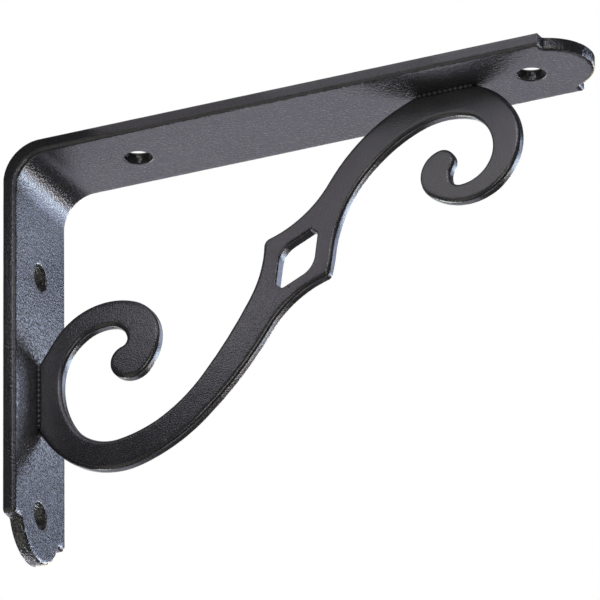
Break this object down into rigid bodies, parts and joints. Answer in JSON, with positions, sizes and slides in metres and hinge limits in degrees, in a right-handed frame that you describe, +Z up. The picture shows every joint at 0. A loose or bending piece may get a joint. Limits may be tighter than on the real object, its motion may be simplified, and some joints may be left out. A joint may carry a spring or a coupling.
{
  "type": "shelf bracket",
  "caption": "Right-angled shelf bracket of bent steel strip with a welded scroll plate and a diamond waist; screws to a wall and carries a shelf.",
  "frame": {"origin": "on the wall arm's flat back face, on the middle line of the strip, midway between the two wall screw holes", "axes": "+X out from the wall along the shelf arm, +Z up, Y across the strip"},
  "size_m": [0.1325, 0.025, 0.0934],
  "materials": {
    "powder_coat_strap": "satin graphite-black powder coat with a fine orange-peel grain",
    "powder_coat_scroll": "satin graphite-black powder coat with a fine orange-peel grain"
  },
  "bodies": {
    "root": {"angle_strap": "powder_coat_strap", "scroll_plate": "powder_coat_scroll"}
  },
  "joints": []
}
